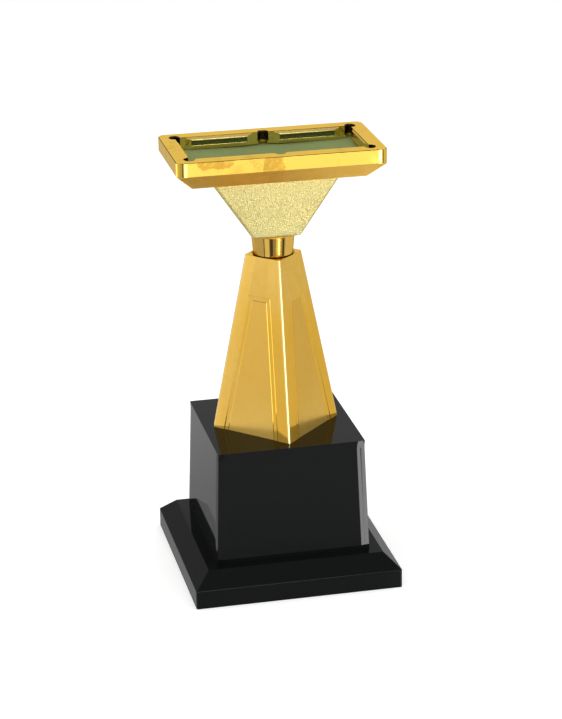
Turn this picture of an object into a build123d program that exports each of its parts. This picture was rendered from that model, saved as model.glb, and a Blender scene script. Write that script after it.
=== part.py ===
from build123d import *
import math
import os

# Column trophy: a two-tier gloss base, a four-sided column turned 45 degrees, a ferrule, and a
# tapered wedge that carries a miniature pool table.  One tie rod clamps base, column, ferrule
# and wedge together; the table is screwed to the wedge from inside.
# Millimetres, +Z up, +X along the table, origin at the centre of the plinth's underside.

# ---------------------------------------------------------------- driving dimensions
# Plinth: vertical band, then four bevels up to a flat deck
plinth_width = 100.0
plinth_band_height = 9.0
plinth_bevel_height = 7.1
plinth_deck_width = 85.0
plinth_wall = 2.5
plinth_deck_thickness = 3.0
plinth_corner_radius = 0.8
plinth_boss_radius = 8.0
plinth_boss_depth = 4.5
plinth_rib_thickness = 1.6
plinth_rib_depth = 6.0
plinth_key_height = 1.2
plinth_key_thickness = 1.4

# Block: drafted hollow cube, open underneath
block_bottom_width = 74.0
block_top_width = 70.7
block_height = 55.3
block_wall = 2.5
block_deck_thickness = 3.0
block_corner_radius = 1.2
block_boss_radius = 6.5
block_rib_thickness = 1.6
block_rib_depth = 18.0
block_key_height = 1.2
block_key_thickness = 1.4

# Column: hollow square frustum with a sunk panel in each face
column_bottom_side = 42.9
column_top_side = 18.7
column_height = 85.3
column_wall = 2.4
column_deck_thickness = 3.0
column_edge_radius = 0.8
panel_border = 6.0
panel_top_border = 18.5
panel_step_depth = 0.25
panel_ledge_width = 2.2
panel_depth = 0.4

# Ferrule: turned conical collar between column and wedge
ferrule_bottom_radius = 9.05
ferrule_top_radius = 9.95
ferrule_height = 10.2
ferrule_bore_radius = 6.6
ferrule_lip_height = 0.6
spigot_wall = 1.4
spigot_height = 1.4

# Support wedge: narrow foot, wide mouth, hollow
wedge_foot_width = 22.4
wedge_foot_depth = 19.8
wedge_mouth_width = 61.8
wedge_mouth_depth = 22.0
wedge_height = 29.1
wedge_wall = 1.8
wedge_floor_thickness = 3.0
wedge_foot_bevel = 0.8
wedge_corner_radius = 1.6
wedge_socket_wall = 1.6
wedge_rib_thickness = 1.6
wedge_rib_depth = 10.0

# Table tray: flat bottom that flares up to the rail
tray_bottom_length = 82.6
tray_bottom_depth = 36.8
tray_height = 7.7
tray_wall = 1.5
tray_floor_thickness = 1.8
tray_bottom_radius = 1.2
tray_ledge_width = 2.4
tray_ledge_thickness = 1.6
tray_rim_thickness = 1.2
tray_rim_height = 2.2
tray_key_height = 1.4
tray_key_thickness = 1.2
tray_rib_thickness = 1.2
tray_rib_spacing = 29.0

# Rail frame: inverted channel with six pocket notches
table_length = 98.4
table_depth = 51.6
table_corner_radius = 3.5
rail_height = 6.5
rail_width = 7.0
rail_wall = 1.4
rail_skin = 1.3
rail_edge_chamfer = 0.3
pocket_radius = 2.65
pocket_bore_radius = 2.1
pocket_wall = 1.2

# Pocket liners: thin black bands that stand on the shoulder of each notch
liner_thickness = 0.3
liner_height = 4.0
liner_top_margin = 0.4

# Bed: stiff panel with cloth on top
bed_rise = 0.5
bed_panel_thickness = 1.2
bed_cloth_thickness = 0.4

# Cushions: six mitred strips keyed into the inner faces of the rail, with a groove along the nose
cushion_depth = 1.6
end_cushion_depth = 0.9
cushion_top_drop = 0.3
cushion_slope_drop = 0.5
cushion_nose_height = 3.6
cushion_lip_height = 0.5
cushion_groove_depth = 0.2
cushion_foot_setback = 0.5
cushion_mitre = 3.2
cushion_pocket_gap = 2.3
cushion_tongue_height = 1.4
cushion_tongue_depth = 0.8
cushion_tongue_inset = 5.0

# Fasteners
rod_radius = 2.5
rod_end_chamfer = 0.5
rod_bottom_clearance = 1.6
rod_top_projection = 1.6
nut_across_flats = 8.0
nut_height = 4.0
nut_chamfer = 0.4
washer_width = 17.0
washer_thickness = 1.4
screw_head_radius = 2.7
screw_head_height = 1.7
screw_shank_radius = 1.4
screw_length = 9.0
screw_recess_width = 0.8
screw_recess_depth = 0.9
screw_spacing = 36.0
screw_boss_radius = 3.2

# Clearances
rod_clearance = 0.3
key_clearance = 0.2
spigot_clearance = 0.15
nut_clearance = 0.15
screw_clearance = 0.1
rim_clearance = 0.15
panel_clearance = 0.25
cloth_clearance = 0.1
liner_clearance = 0.05
tongue_clearance = 0.1

# ---------------------------------------------------------------- places worked out from them
plinth_top = plinth_band_height + plinth_bevel_height
block_top = plinth_top + block_height
column_top = block_top + column_height
ferrule_top = column_top + ferrule_height
wedge_top = ferrule_top + wedge_height
rail_base = wedge_top + tray_height
rail_top = rail_base + rail_height
bed_top = rail_base + bed_rise
panel_bottom = bed_top - bed_cloth_thickness - bed_panel_thickness

rod_hole_radius = rod_radius + rod_clearance
opening_length = table_length - 2 * rail_width
opening_depth = table_depth - 2 * rail_width
rim_length = table_length - 2 * (rail_wall + rim_clearance)
rim_depth = table_depth - 2 * (rail_wall + rim_clearance)
rim_radius = max(table_corner_radius - rail_wall - rim_clearance, 0.4)
rim_inner_length = rim_length - 2 * tray_rim_thickness
rim_inner_depth = rim_depth - 2 * tray_rim_thickness
panel_length = rim_inner_length - 2 * panel_clearance
panel_width = rim_inner_depth - 2 * panel_clearance
washer_top = plinth_top - plinth_deck_thickness - plinth_boss_depth
wedge_floor_top = ferrule_top + wedge_floor_thickness
screw_places = [(side * screw_spacing / 2, 0) for side in (-1, 1)]
pocket_places = [(side * opening_length / 2, end * opening_depth / 2)
                 for side in (-1, 0, 1) for end in (-1, 1)]


# ---------------------------------------------------------------- shared shapes
def slab(length, depth, radius, bottom, top):
    """Upright prism on a rectangle, with rounded corners where radius is above zero."""
    outline = RectangleRounded(length, depth, radius) if radius > 0 else Rectangle(length, depth)
    return extrude(Pos(0, 0, bottom) * outline, amount=top - bottom)


def frustum(bottom_size, top_size, bottom, top):
    """Flat-sided solid between two rectangles at two heights: two tapered prisms crossed."""
    reach = max(*bottom_size, *top_size)

    def prism(plane, lower, upper):
        """Tapered prism that runs through along the plane's normal."""
        outline = Polyline((-lower / 2, bottom), (lower / 2, bottom),
                           (upper / 2, top), (-upper / 2, top), close=True)
        return extrude(plane * make_face(outline), amount=reach, both=True)

    along_y = prism(Plane.XZ, bottom_size[0], top_size[0])
    return along_y & prism(Plane.YZ, bottom_size[1], top_size[1])


def round_leaning(solid, radius):
    """The solid with its upright and leaning edges rounded."""
    return fillet(solid.edges().filter_by(lambda e: abs(e.tangent_at(0.5).Z) > 0.3), radius)


def rod(radius, bottom, top, x=0.0, y=0.0):
    """Upright cylinder between two heights."""
    return Pos(x, y, (bottom + top) / 2) * Cylinder(radius, top - bottom)


def plate(length, depth, bottom, top, x=0.0, y=0.0):
    """Upright rectangular plate between two heights."""
    return Pos(x, y, (bottom + top) / 2) * Box(length, depth, top - bottom)


def hexagon(across_flats, bottom, top):
    """Upright hexagonal prism between two heights."""
    outline = RegularPolygon(across_flats / math.sqrt(3), 6)
    return extrude(Pos(0, 0, bottom) * outline, amount=top - bottom)


def square_key(width, thickness, bottom, top):
    """Square locating rim that stands inside a hollow foot."""
    rim = plate(width, width, bottom, top)
    return rim - plate(width - 2 * thickness, width - 2 * thickness, bottom, top)


# ---------------------------------------------------------------- base
block_draft = (block_bottom_width - block_top_width) / block_height
block_inner_width = block_bottom_width - 2 * block_wall
column_draft = (column_bottom_side - column_top_side) / column_height
column_inner_side = column_bottom_side - 2 * column_wall


def base_plinth():
    """Bevelled plinth, moulded hollow: ribbed boss for the tie rod and a key for the block."""
    deck_under = plinth_top - plinth_deck_thickness
    outer = plate(plinth_width, plinth_width, 0, plinth_band_height)
    outer += frustum((plinth_width, plinth_width), (plinth_deck_width, plinth_deck_width),
                     plinth_band_height, plinth_top)
    outer &= slab(plinth_width, plinth_width, plinth_corner_radius, 0, plinth_top)
    inner_width = plinth_width - 2 * plinth_wall
    inner_deck_width = plinth_deck_width - 2 * plinth_wall
    bend = plinth_band_height - plinth_wall / 2
    hollow = plate(inner_width, inner_width, -1, bend)
    hollow += frustum((inner_width, inner_width), (inner_deck_width, inner_deck_width),
                      bend, deck_under)
    stiffening = rod(plinth_boss_radius, deck_under - plinth_boss_depth, plinth_top)
    rib_bottom = deck_under - plinth_rib_depth
    reach = inner_width + plinth_wall
    upper_reach = inner_deck_width + plinth_wall
    mid_deck = plinth_top - plinth_deck_thickness / 2
    core = frustum((reach, reach), (upper_reach, upper_reach), bend, mid_deck)
    core += plate(reach, reach, rib_bottom - 1, bend)
    cross = plate(reach, plinth_rib_thickness, rib_bottom, mid_deck)
    cross += plate(plinth_rib_thickness, reach, rib_bottom, mid_deck)
    washer_space = washer_width + 2 * key_clearance
    cross = (cross & core) - plate(washer_space, washer_space, rib_bottom - 1, washer_top)
    key_width = block_inner_width - block_draft * plinth_key_height - 2 * key_clearance
    plinth = (outer - hollow) + cross + stiffening
    plinth += square_key(key_width, plinth_key_thickness, plinth_top, plinth_top + plinth_key_height)
    return plinth - rod(rod_hole_radius, 0, plinth_top + 1)


def base_block():
    """Drafted block, hollow, with a centre boss, cross ribs and a key for the column."""
    outer = frustum((block_bottom_width, block_bottom_width), (block_top_width, block_top_width),
                    plinth_top, block_top)
    outer = round_leaning(outer, block_corner_radius)
    deck_under = block_top - block_deck_thickness
    inner_top = block_top_width - 2 * block_wall + block_draft * block_deck_thickness
    hollow = frustum((block_inner_width, block_inner_width), (inner_top, inner_top),
                     plinth_top, deck_under)
    rib_bottom = deck_under - block_rib_depth
    rib_length = inner_top + block_wall
    inside = plate(rib_length, block_rib_thickness, rib_bottom, deck_under)
    inside += plate(block_rib_thickness, rib_length, rib_bottom, deck_under)
    inside += rod(block_boss_radius, plinth_top, deck_under)
    key_width = column_inner_side - column_draft * block_key_height - 2 * key_clearance
    key = square_key(key_width, block_key_thickness, block_top, block_top + block_key_height)
    block = (outer - hollow) + inside + Rot(0, 0, 45) * key
    return block - rod(rod_hole_radius, plinth_top - 1, block_top + 1)


# ---------------------------------------------------------------- column and collar
def panel_cutter(inset, depth):
    """Cutter for the column's front face: a trapezium drawn in from the border, open at the foot."""
    lean = (column_bottom_side - column_top_side) / 2
    slant = math.hypot(lean, column_height)
    narrowing = lean / slant
    half = column_bottom_side / 2 - panel_border - inset
    below = -2 * panel_depth
    head = slant - panel_top_border - inset
    points = [(-half + narrowing * below, below), (half - narrowing * below, below),
              (half - narrowing * head, head), (-half + narrowing * head, head)]
    face = Plane(origin=(0, -column_bottom_side / 2, block_top), x_dir=(1, 0, 0),
                 z_dir=(0, -column_height, lean))
    outline = face.offset(panel_depth) * make_face(Polyline(*points, close=True))
    return extrude(outline, amount=-panel_depth - depth)


def column():
    """Square frustum turned 45 degrees, hollow, with stepped sunk panels and a spigot on top."""
    outer = frustum((column_bottom_side, column_bottom_side), (column_top_side, column_top_side),
                    block_top, column_top)
    outer = round_leaning(outer, column_edge_radius)
    deck_under = column_top - column_deck_thickness
    inner_top = column_top_side - 2 * column_wall + column_draft * column_deck_thickness
    hollow = frustum((column_inner_side, column_inner_side), (inner_top, inner_top),
                     block_top, deck_under)
    shell = outer - hollow
    for quarter in range(4):
        shell -= Rot(0, 0, 90 * quarter) * panel_cutter(0, panel_step_depth)
        shell -= Rot(0, 0, 90 * quarter) * panel_cutter(panel_ledge_width, panel_depth)
    spigot = rod(ferrule_bore_radius - spigot_clearance, column_top, column_top + spigot_height)
    spigot -= rod(ferrule_bore_radius - spigot_clearance - spigot_wall,
                  column_top, column_top + spigot_height)
    shell = shell + spigot - rod(rod_hole_radius, deck_under - 1, column_top + spigot_height)
    return Rot(0, 0, 45) * shell


def ferrule():
    """Conical collar, turned from one profile with a bevelled lip."""
    lean = (ferrule_top_radius - ferrule_bottom_radius) / ferrule_height
    lip = ferrule_lip_height
    profile = Polyline((ferrule_bore_radius, column_top),
                       (ferrule_bottom_radius, column_top),
                       (ferrule_top_radius - lean * lip, ferrule_top - lip),
                       (ferrule_top_radius - lip, ferrule_top),
                       (ferrule_bore_radius, ferrule_top), close=True)
    return revolve(Plane.XZ * make_face(profile), axis=Axis.Z)


# ---------------------------------------------------------------- support wedge
def support_wedge():
    """Hollow wedge: captive-nut socket in its foot, two screw bosses on cross ribs at its mouth."""
    outer = frustum((wedge_foot_width, wedge_foot_depth), (wedge_mouth_width, wedge_mouth_depth),
                    ferrule_top, wedge_top)
    outer = round_leaning(outer, wedge_corner_radius)
    bevelled = (wedge_foot_width - wedge_foot_bevel, wedge_foot_depth - 2 * wedge_foot_bevel)
    widest = (bevelled[0] + 2 * wedge_height, bevelled[1] + 2 * wedge_height)
    outer &= frustum(bevelled, widest, ferrule_top, wedge_top)
    spread = (wedge_mouth_width - wedge_foot_width) / wedge_height
    swell = (wedge_mouth_depth - wedge_foot_depth) / wedge_height
    side_wall = wedge_wall * math.hypot(1, spread / 2)
    floor_width = wedge_foot_width + spread * wedge_floor_thickness - 2 * side_wall
    floor_depth = wedge_foot_depth + swell * wedge_floor_thickness - 2 * wedge_wall
    mouth_width = wedge_mouth_width - 2 * side_wall
    mouth_depth = wedge_mouth_depth - 2 * wedge_wall
    hollow = frustum((floor_width, floor_depth), (mouth_width, mouth_depth),
                     wedge_floor_top, wedge_top)
    nut_space = nut_across_flats + 2 * nut_clearance
    inside = hexagon(nut_space + 2 * wedge_socket_wall, wedge_floor_top, wedge_floor_top + nut_height)
    boss_bottom = wedge_top - wedge_rib_depth
    rib_top = wedge_top - tray_key_height - spigot_clearance
    rib_depth = mouth_depth - swell * wedge_rib_depth + wedge_wall
    for x, y in screw_places:
        inside += plate(wedge_rib_thickness, rib_depth, boss_bottom, rib_top, x, y)
        inside += rod(screw_boss_radius, boss_bottom, wedge_top, x, y)
    wedge = (outer - hollow) + inside
    spigot = rod(ferrule_bore_radius - spigot_clearance, ferrule_top - spigot_height, ferrule_top)
    wedge += spigot
    wedge -= hexagon(nut_space, wedge_floor_top, wedge_top)
    wedge -= rod(rod_hole_radius, ferrule_top - spigot_height, wedge_floor_top)
    for x, y in screw_places:
        wedge -= rod(screw_shank_radius + screw_clearance, boss_bottom - 1, wedge_top, x, y)
    return wedge


# ---------------------------------------------------------------- table
def tray_inside(bottom_length, bottom_depth):
    """Size of the tray's hollow at the floor and at the rail, one wall inside the flare."""
    slope = (table_length - tray_bottom_length) / (2 * tray_height)
    side = tray_wall * math.hypot(1, slope)
    rise = 2 * slope * tray_floor_thickness
    floor = (bottom_length + rise - 2 * side, bottom_depth + rise - 2 * side)
    mouth = (table_length - 2 * side, table_depth - 2 * side)
    return floor, mouth


def table_tray():
    """Flared pan with a locating rim, a ledge and ribs for the bed, and a key in the wedge."""
    outer = frustum((tray_bottom_length, tray_bottom_depth), (table_length, table_depth),
                    wedge_top, rail_base)
    outer = round_leaning(outer, tray_bottom_radius)
    outer &= slab(table_length, table_depth, table_corner_radius, wedge_top, rail_base)
    floor_top = wedge_top + tray_floor_thickness
    floor, mouth = tray_inside(tray_bottom_length, tray_bottom_depth)
    hollow = frustum(floor, mouth, floor_top, rail_base)
    core = frustum((floor[0] + tray_wall, floor[1] + tray_wall),
                   (mouth[0] + tray_wall, mouth[1] + tray_wall), floor_top - 0.5 * tray_wall, rail_base)
    ledge_bottom = panel_bottom - tray_ledge_thickness
    inside = plate(table_length, table_depth, ledge_bottom, rail_base)
    inside -= plate(rim_inner_length - 2 * tray_ledge_width, rim_inner_depth - 2 * tray_ledge_width,
                    ledge_bottom, panel_bottom)
    inside += plate(table_length, tray_rib_thickness, floor_top, panel_bottom)
    for step in (-1, 0, 1):
        inside += plate(tray_rib_thickness, table_depth, floor_top, panel_bottom,
                        step * tray_rib_spacing)
    for x, y in screw_places:
        space = 2 * (screw_head_radius + screw_clearance)
        inside -= plate(space, space, floor_top, panel_bottom, x, y)
    rim = slab(rim_length, rim_depth, rim_radius, rail_base - tray_rim_thickness / 2,
               rail_base + tray_rim_height)
    panel_space = plate(rim_inner_length, rim_inner_depth, panel_bottom, rail_top)
    tray = (outer - hollow) + (core & inside) + rim - panel_space
    spread = (wedge_mouth_width - wedge_foot_width) / wedge_height
    side_wall = wedge_wall * math.hypot(1, spread / 2)
    key_length = wedge_mouth_width - 2 * side_wall - 2 * spigot_clearance - spread * tray_key_height
    key_depth = wedge_mouth_depth - 2 * wedge_wall - 4 * spigot_clearance
    key = plate(key_length, key_depth, wedge_top - tray_key_height, wedge_top)
    key -= plate(key_length - 2 * tray_key_thickness, key_depth - 2 * tray_key_thickness,
                 wedge_top - tray_key_height, wedge_top)
    tray += key
    for x, y in screw_places:
        tray -= rod(screw_shank_radius + screw_clearance, wedge_top, floor_top, x, y)
    return tray


long_cushion = opening_length / 2 - 2 * (pocket_radius + cushion_pocket_gap)
end_cushion = opening_depth - 2 * (pocket_radius + cushion_pocket_gap)
half_length = opening_length / 2
half_depth = opening_depth / 2
long_cushion_places = {
    "cushion_back_left": Location((-half_length / 2, half_depth, 0), (0, 0, 180)),
    "cushion_back_right": Location((half_length / 2, half_depth, 0), (0, 0, 180)),
    "cushion_front_left": Location((-half_length / 2, -half_depth, 0)),
    "cushion_front_right": Location((half_length / 2, -half_depth, 0)),
}
end_cushion_places = {
    "cushion_end_left": Location((-half_length, 0, 0), (0, 0, -90)),
    "cushion_end_right": Location((half_length, 0, 0), (0, 0, 90)),
}


def cushion_tongue(length, depth, clearance):
    """Bar along the back of a cushion, or the slot for it when grown by a clearance."""
    tongue_length = length - 2 * cushion_tongue_inset + 2 * clearance
    middle = rail_top - cushion_top_drop - cushion_slope_drop - cushion_nose_height / 2
    reach = cushion_tongue_height / 2 + clearance
    return plate(tongue_length, depth, middle - reach, middle + reach, 0, -depth / 2)


def cushion(length, depth):
    """Mitred strip along the front rail: sloped top, grooved nose, undercut foot, tongue behind."""
    seat = bed_top + cloth_clearance
    wall_top = rail_top - cushion_top_drop
    nose_top = wall_top - cushion_slope_drop
    nose_bottom = nose_top - cushion_nose_height
    groove = depth - cushion_groove_depth
    profile = Polyline((0, seat), (depth - cushion_foot_setback, seat), (depth, nose_bottom),
                       (depth, nose_bottom + cushion_lip_height),
                       (groove, nose_bottom + cushion_lip_height),
                       (groove, nose_top - cushion_lip_height),
                       (depth, nose_top - cushion_lip_height), (depth, nose_top),
                       (0, wall_top), close=True)
    strip = extrude(Plane.YZ * make_face(profile), amount=length / 2, both=True)
    half = length / 2
    plan = Polyline((-half, 0), (half, 0), (half - cushion_mitre, depth),
                    (-half + cushion_mitre, depth), close=True)
    strip &= extrude(Pos(0, 0, bed_top) * make_face(plan), amount=rail_height)
    return strip + cushion_tongue(length, cushion_tongue_depth, 0)


def pocket_cutter(x, y):
    """Counterbored hole of one pocket: wide rim down to the liner's shoulder, then the bore."""
    shoulder = rail_top - liner_top_margin - liner_height
    return rod(pocket_bore_radius, rail_base, shoulder, x, y) + rod(pocket_radius, shoulder,
                                                                    rail_top + 1, x, y)


def rail_frame():
    """Inverted channel frame: counterbored pockets and slots for the cushions' tongues."""
    outer = slab(table_length, table_depth, table_corner_radius, rail_base, rail_top)
    outer = chamfer(outer.faces().sort_by(Axis.Z)[-1].edges(), rail_edge_chamfer)
    channel_top = rail_top - rail_skin
    channel = slab(table_length - 2 * rail_wall, table_depth - 2 * rail_wall,
                   max(table_corner_radius - rail_wall, 0.5), rail_base, channel_top)
    channel -= plate(opening_length + 2 * rail_wall, opening_depth + 2 * rail_wall,
                     rail_base, channel_top)
    bay = 2 * (pocket_radius + pocket_wall)
    for x, y in pocket_places:
        channel -= plate(bay, bay, rail_base, channel_top, x, y)
    opening = plate(opening_length, opening_depth, rail_base - 1, rail_top + 1)
    over_bed = plate(rim_inner_length, rim_inner_depth, rail_base - 1, bed_top + cloth_clearance)
    frame = outer - channel - opening - over_bed
    for x, y in pocket_places:
        frame -= pocket_cutter(x, y)
    slot_depth = cushion_tongue_depth + tongue_clearance
    for place in long_cushion_places.values():
        frame -= place * cushion_tongue(long_cushion, slot_depth, tongue_clearance)
    for place in end_cushion_places.values():
        frame -= place * cushion_tongue(end_cushion, slot_depth, tongue_clearance)
    return frame


def pocket_liners(places):
    """Black bands standing on the shoulders, cut off at the faces of the opening."""
    top = rail_top - liner_top_margin
    bottom = top - liner_height
    radius = pocket_radius - liner_clearance
    opening = plate(opening_length, opening_depth, bottom - 1, top + 1)
    bands = []
    for x, y in places:
        band = rod(radius, bottom, top, x, y) - rod(radius - liner_thickness, bottom, top, x, y)
        bands.append(band - opening)
    return Compound(children=bands)


def bed_panel():
    """Stiff panel under the cloth, lying on the tray's ledge and ribs."""
    return slab(panel_length, panel_width, 0, panel_bottom, panel_bottom + bed_panel_thickness)


def bed_cloth():
    """Cloth on the panel, nipped under the rail's inner wall."""
    return slab(panel_length, panel_width, 0, bed_top - bed_cloth_thickness, bed_top)


# ---------------------------------------------------------------- fasteners
def tie_rod():
    """Rod from under the plinth to the nut in the wedge, with a lead-in at its upper end."""
    bottom = washer_top - washer_thickness - nut_height - rod_bottom_clearance
    top = wedge_floor_top + nut_height + rod_top_projection
    bar = rod(rod_radius, bottom, top)
    return chamfer(bar.edges().sort_by(Axis.Z)[-1], rod_end_chamfer)


def hex_nut(bottom):
    """Nut with its upper corners chamfered and a plain bore."""
    nut = hexagon(nut_across_flats, bottom, bottom + nut_height)
    dome = rod(nut_across_flats / math.sqrt(3), bottom, bottom + nut_height)
    dome = chamfer(dome.edges().sort_by(Axis.Z)[-1], nut_chamfer)
    return (nut & dome) - rod(rod_radius + rod_clearance / 2, bottom - 1, bottom + nut_height + 1)


def base_nut():
    """Nut that draws the stack together from below."""
    return hex_nut(washer_top - washer_thickness - nut_height)


def head_nut():
    """Nut held in the wedge's socket."""
    return hex_nut(wedge_floor_top)


def base_washer():
    """Square plate between the base nut and the plinth's boss."""
    bottom = washer_top - washer_thickness
    return plate(washer_width, washer_width, bottom, washer_top) - rod(rod_hole_radius, bottom, washer_top)


def table_screws():
    """Two flat-topped screws from the tray's floor into the wedge's bosses."""
    floor_top = wedge_top + tray_floor_thickness
    screws = []
    for x, y in screw_places:
        head = rod(screw_head_radius, floor_top, floor_top + screw_head_height, x, y)
        recess_bottom = floor_top + screw_head_height - screw_recess_depth
        cross = plate(screw_head_radius, screw_recess_width, recess_bottom, rail_base, x, y)
        cross += plate(screw_recess_width, screw_head_radius, recess_bottom, rail_base, x, y)
        screws.append(head - cross + rod(screw_shank_radius, floor_top - screw_length, floor_top, x, y))
    return Compound(children=screws)


# ---------------------------------------------------------------- write every piece
middle_pockets = [place for place in pocket_places if place[0] == 0]
corner_pockets = [place for place in pocket_places if place[0] != 0]

pieces = {
    "base_plinth": base_plinth(),
    "base_block": base_block(),
    "column": column(),
    "ferrule": ferrule(),
    "support_wedge": support_wedge(),
    "table_tray": table_tray(),
    "rail_frame": rail_frame(),
    "middle_pocket_liners": pocket_liners(middle_pockets),
    "corner_pocket_liners": pocket_liners(corner_pockets),
    "bed_panel": bed_panel(),
    "bed_cloth": bed_cloth(),
    "tie_rod": tie_rod(),
    "base_nut": base_nut(),
    "head_nut": head_nut(),
    "base_washer": base_washer(),
    "table_screws": table_screws(),
}
for name, place in long_cushion_places.items():
    pieces[name] = place * cushion(long_cushion, cushion_depth)
for name, place in end_cushion_places.items():
    pieces[name] = place * cushion(end_cushion, end_cushion_depth)

os.makedirs("parts", exist_ok=True)
for name, shape in pieces.items():
    export_step(shape, f"parts/{name}.step")
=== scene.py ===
import math

import bmesh
import bpy
from bpy.props import FloatProperty, FloatVectorProperty, PointerProperty
from mathutils import Matrix, Vector


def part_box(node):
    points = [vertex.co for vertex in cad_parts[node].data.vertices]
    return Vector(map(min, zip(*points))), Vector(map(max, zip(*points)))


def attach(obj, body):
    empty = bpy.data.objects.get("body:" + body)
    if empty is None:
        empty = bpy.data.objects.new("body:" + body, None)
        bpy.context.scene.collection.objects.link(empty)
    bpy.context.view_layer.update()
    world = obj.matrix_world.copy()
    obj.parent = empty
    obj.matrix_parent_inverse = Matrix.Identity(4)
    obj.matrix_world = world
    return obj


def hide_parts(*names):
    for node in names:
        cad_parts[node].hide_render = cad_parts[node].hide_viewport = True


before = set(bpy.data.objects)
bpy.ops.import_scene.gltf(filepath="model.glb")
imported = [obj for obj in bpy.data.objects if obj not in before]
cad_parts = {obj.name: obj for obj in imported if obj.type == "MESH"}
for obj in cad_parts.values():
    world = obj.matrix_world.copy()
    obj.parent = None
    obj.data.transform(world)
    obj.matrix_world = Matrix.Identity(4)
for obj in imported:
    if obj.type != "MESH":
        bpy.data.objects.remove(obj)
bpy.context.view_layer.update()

bl_info = {
    "name": "Column Trophy",
    "version": (1, 0, 0),
    "blender": (4, 5, 0),
    "location": "View3D > Sidebar > Trophy",
    "description": "Builds the finished surfaces of a column trophy round its solid model",
    "category": "Object",
}

MM = 0.001
BODY = "root"


# ---------------- places read from the solid model
def span(node):
    """Lowest and highest corner of a solid."""
    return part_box(node)


BLOCK_LOW, BLOCK_HIGH = span("base_block")
FERRULE_LOW, FERRULE_HIGH = span("ferrule")
RAIL_LOW, RAIL_HIGH = span("rail_frame")
CLOTH_LOW, CLOTH_HIGH = span("bed_cloth")
ROD_LOW, ROD_HIGH = span("tie_rod")
DECK_Z = BLOCK_LOW.z
BLOCK_TOP = span("column")[0].z
COLUMN_TOP = FERRULE_LOW.z
WEDGE_BOTTOM = FERRULE_HIGH.z
WEDGE_TOP = span("support_wedge")[1].z
RAIL_TOP = RAIL_HIGH.z

# ---------------- sizes shared by several pieces
ROD_HOLE = 2.8 * MM          # radius of the hole for the rod
COLLAR_FOOT = 9.45 * MM      # radius of the collar where it stands on the column
RAIL_WIDTH = 7.0 * MM
RAIL_OPENING = 6.4 * MM      # from the rail's outer faces to where the finish of its inside starts
POCKET_REACH = 2.75 * MM     # from a pocket's centre to just past its rim
SAME_PLACE = 0.001 * MM      # points nearer than this to a cutting plane lie on it


# ---------------- settings a user would change
def a_length(name, words, default, low, high):
    """A length, in metres."""
    return FloatProperty(name=name, description=words, default=default, min=low, max=high,
                         unit="LENGTH", precision=5)


def a_colour(name, words, default):
    """A colour, as linear values."""
    return FloatVectorProperty(name=name, description=words, default=default, min=0.0, max=1.0,
                               subtype="COLOR", size=3)


def a_level(name, words, default):
    """A brightness, where 1 is that of white paper."""
    return FloatProperty(name=name, description=words, default=default, min=0.0, max=10.0)


class TrophySizes(bpy.types.PropertyGroup):
    """Sizes of the modelled surfaces that the solid model leaves open."""
    edge_round: a_length(
        "Edge Rounding", "Radius of the moulded edges of the base", 0.35 * MM, 0.05 * MM, 2 * MM)
    corner_fall: a_length(
        "Corner Fall", "How far the block's faces lean away at their upright edges", 0.36 * MM, 0.0, 2 * MM)
    block_foot: a_length("Block Foot", "Half width of the block where it stands on the plinth",
                         BLOCK_HIGH.x + 0.35 * MM, 20 * MM, 60 * MM)
    block_draft: a_length(
        "Block Draft", "How far each face of the block leans in over its height", 1.85 * MM, 0.0, 6 * MM)
    column_foot: a_length("Column Foot", "Side of the column's square foot", 44.0 * MM, 20 * MM, 60 * MM)
    column_head: a_length("Column Head", "Side of the column's square head", 19.8 * MM, 10 * MM, 40 * MM)
    column_edge: a_length(
        "Column Edge", "Radius of the column's four leaning edges", 0.95 * MM, 0.1 * MM, 3 * MM)
    border_fall: a_length(
        "Border Fall", "How far the column's borders fall away towards its edges", 0.12 * MM, 0.0, 0.5 * MM)
    panel_border: a_length(
        "Panel Border", "Plain strip on each side of the column's sunk panels", 6.55 * MM, 2 * MM, 9 * MM)
    panel_ledge: a_length(
        "Panel Ledge", "Width of the ledge round a sunk panel's floor", 2.2 * MM, 0.5 * MM, 4 * MM)
    panel_wall: a_length(
        "Panel Wall", "Width over which each step of a sunk panel slopes", 0.45 * MM, 0.05 * MM, 1 * MM)
    panel_step: a_length("Panel Step", "Depth of the ledge of the sunk panels", 0.25 * MM, 0.05 * MM, 1 * MM)
    panel_depth: a_length("Panel Depth", "Depth of the floor of the sunk panels", 0.4 * MM, 0.1 * MM, 2 * MM)
    panel_head: a_length("Panel Head", "Distance from the column's top to the head of a sunk panel",
                         18.5 * MM, 5 * MM, 40 * MM)
    thread_pitch: a_length("Thread Pitch", "Pitch of the tie rod's thread", 0.8 * MM, 0.4 * MM, 2 * MM)
    cloth_sag: a_length(
        "Cloth Sag", "How far the cloth lies lower in the middle of the bed", 0.32 * MM, 0.0, 1 * MM)
    nap_length: a_length(
        "Nap Length", "Length of the fibres standing on the bed cloth", 0.28 * MM, 0.05 * MM, 1 * MM)
    nap_density: FloatProperty(
        name="Nap Density", description="Fibres on each square metre of cloth",
        default=2.6e6, min=0.0, max=8e6)


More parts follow.
